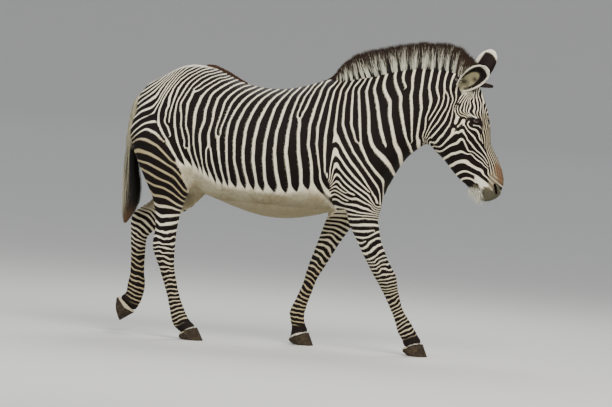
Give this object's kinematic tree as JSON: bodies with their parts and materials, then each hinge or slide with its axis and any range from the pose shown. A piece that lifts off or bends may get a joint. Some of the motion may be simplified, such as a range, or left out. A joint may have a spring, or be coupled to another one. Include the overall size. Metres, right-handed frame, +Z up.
{
  "type": "grevy's zebra",
  "caption": "Life-size walking Grevy's zebra, a still museum model with erect mane, large round ears and hooves that stand on the floor.",
  "frame": {"origin": "on the floor, under the middle of the model's box", "axes": "+X forward, towards the head; +Y to the animal's left; +Z up"},
  "size_m": [2.059, 0.592, 1.707],
  "materials": {
    "coat": "short striped fur, black-brown on off-white",
    "long_hair": "coarse long hair, banded black and white",
    "horn": "dull dark hoof horn with fine ridges",
    "eyes": "wet, very dark brown eye"
  },
  "bodies": {
    "root": {"trunk": "coat", "neck": "coat", "head": "coat", "ear_right": "coat", "ear_left": "coat", "foreleg_right": "coat", "foreleg_left": "coat", "hind_leg_right": "coat", "hind_leg_left": "coat", "eye_right": "eyes", "eye_left": "eyes", "mane": "long_hair", "forelock": "long_hair", "tail": "long_hair", "hoof_fore_right": "horn", "hoof_fore_left": "horn", "hoof_hind_right": "horn", "hoof_hind_left": "horn"}
  },
  "joints": []
}
